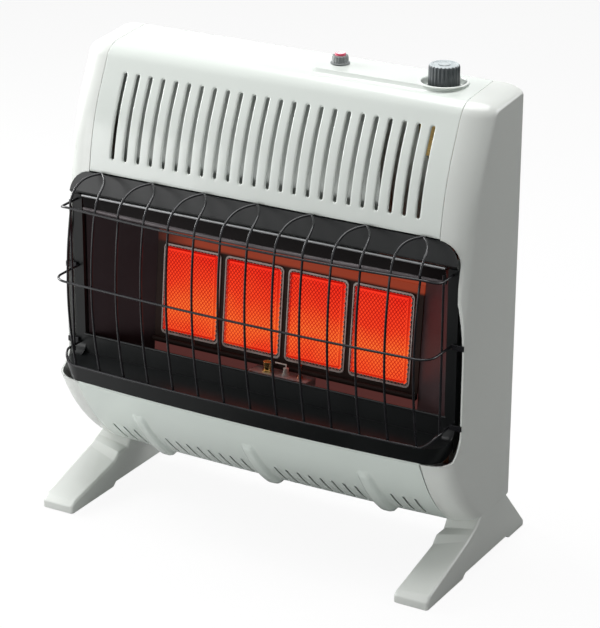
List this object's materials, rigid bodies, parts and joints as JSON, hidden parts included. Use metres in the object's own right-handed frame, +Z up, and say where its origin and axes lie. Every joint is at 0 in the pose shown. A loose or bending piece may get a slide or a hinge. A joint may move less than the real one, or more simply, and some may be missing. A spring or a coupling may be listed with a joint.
{
  "type": "radiant gas heater",
  "caption": "Free-standing radiant gas heater with glowing ceramic plaques in a bezelled firebox behind a wire guard, louvred casing, control knob, igniter and moulded feet.",
  "frame": {"origin": "centre of the footprint on the floor", "axes": "+Z up, front towards -Y, +X to the viewer's right"},
  "size_m": [0.644, 0.308, 0.7092],
  "materials": {
    "casing_paint": "glossy off-white enamel",
    "moulding": "glossy off-white moulding",
    "bezel_paint": "satin charcoal",
    "firebox_steel": "heat-stained dark steel",
    "guard_wire": "glossy black wire",
    "plaque_ceramic": "glowing perforated ceramic",
    "gasket_felt": "ceramic felt",
    "zinc_steel": "zinc-coated sheet",
    "burner_steel": "heat-dulled steel",
    "fastener_steel": "bright plated",
    "brass": "machined",
    "copper_tube": "drawn copper",
    "electrode_ceramic": "white insulator",
    "regulator_cast": "die-cast",
    "knob_plastic": "slate-grey",
    "button_plastic": "red"
  },
  "bodies": {
    "heater": {"side_cover_left": "moulding", "side_cover_right": "moulding", "upper_front_panel": "casing_paint", "lower_front_panel": "casing_paint", "back_panel": "casing_paint", "base_pan": "zinc_steel", "foot_left": "moulding", "foot_right": "moulding", "foot_screws": "fastener_steel", "panel_screws": "fastener_steel", "bezel": "bezel_paint", "firebox_back": "firebox_steel", "firebox_side_left": "firebox_steel", "firebox_side_right": "firebox_steel", "firebox_hood": "firebox_steel", "firebox_floor": "firebox_steel", "heat_shield": "zinc_steel", "guard_hairpin_1": "guard_wire", "guard_hairpin_2": "guard_wire", "guard_hairpin_3": "guard_wire", "guard_hairpin_4": "guard_wire", "guard_hairpin_5": "guard_wire", "guard_hairpin_6": "guard_wire", "guard_hairpin_7": "guard_wire", "guard_rail_top": "guard_wire", "guard_rail_middle": "guard_wire", "guard_rail_bottom": "guard_wire", "guard_end_wire_left": "guard_wire", "guard_end_wire_right": "guard_wire", "guard_clips": "guard_wire", "burner_plenum": "burner_steel", "burner_front_frame": "burner_steel", "plaque_1": "plaque_ceramic", "plaque_2": "plaque_ceramic", "plaque_3": "plaque_ceramic", "plaque_4": "plaque_ceramic", "plaque_gaskets": "gasket_felt", "plaque_screens": "burner_steel", "mixing_tube": "zinc_steel", "injector": "brass", "pilot_bracket": "burner_steel", "pilot_burner": "brass", "spark_electrode": "electrode_ceramic", "thermocouple": "copper_tube", "gas_valve": "brass", "valve_bracket": "zinc_steel", "spindle_spring": "fastener_steel", "igniter_housing": "knob_plastic", "igniter_nut": "fastener_steel", "igniter_spring": "fastener_steel", "pressure_regulator": "regulator_cast", "gas_inlet_fitting": "brass", "supply_tube": "copper_tube", "burner_tube": "copper_tube", "pilot_tube": "copper_tube"},
    "knob_carrier": {"spindle_washer": "fastener_steel"},
    "knob": {"control_knob": "knob_plastic", "valve_spindle": "fastener_steel"},
    "button": {"igniter_button": "button_plastic"}
  },
  "joints": [
    {"name": "knob_push", "type": "slide", "parent": "heater", "child": "knob_carrier", "axis": [0, 0, -1], "range_m": [0, 0.004], "stiffness_N_per_m": 2000, "springref_m": -0.002, "deforming": ["spindle_spring"]},
    {"name": "knob_turn", "type": "hinge", "parent": "knob_carrier", "child": "knob", "pos_m": [0.2235, 0.046, 0.677], "axis": [0, 0, 1], "range_deg": [0, 210]},
    {"name": "igniter_push", "type": "slide", "parent": "heater", "child": "button", "axis": [0, 0, -1], "range_m": [0, 0.005], "stiffness_N_per_m": 1200, "springref_m": -0.003, "deforming": ["igniter_spring"]}
  ]
}
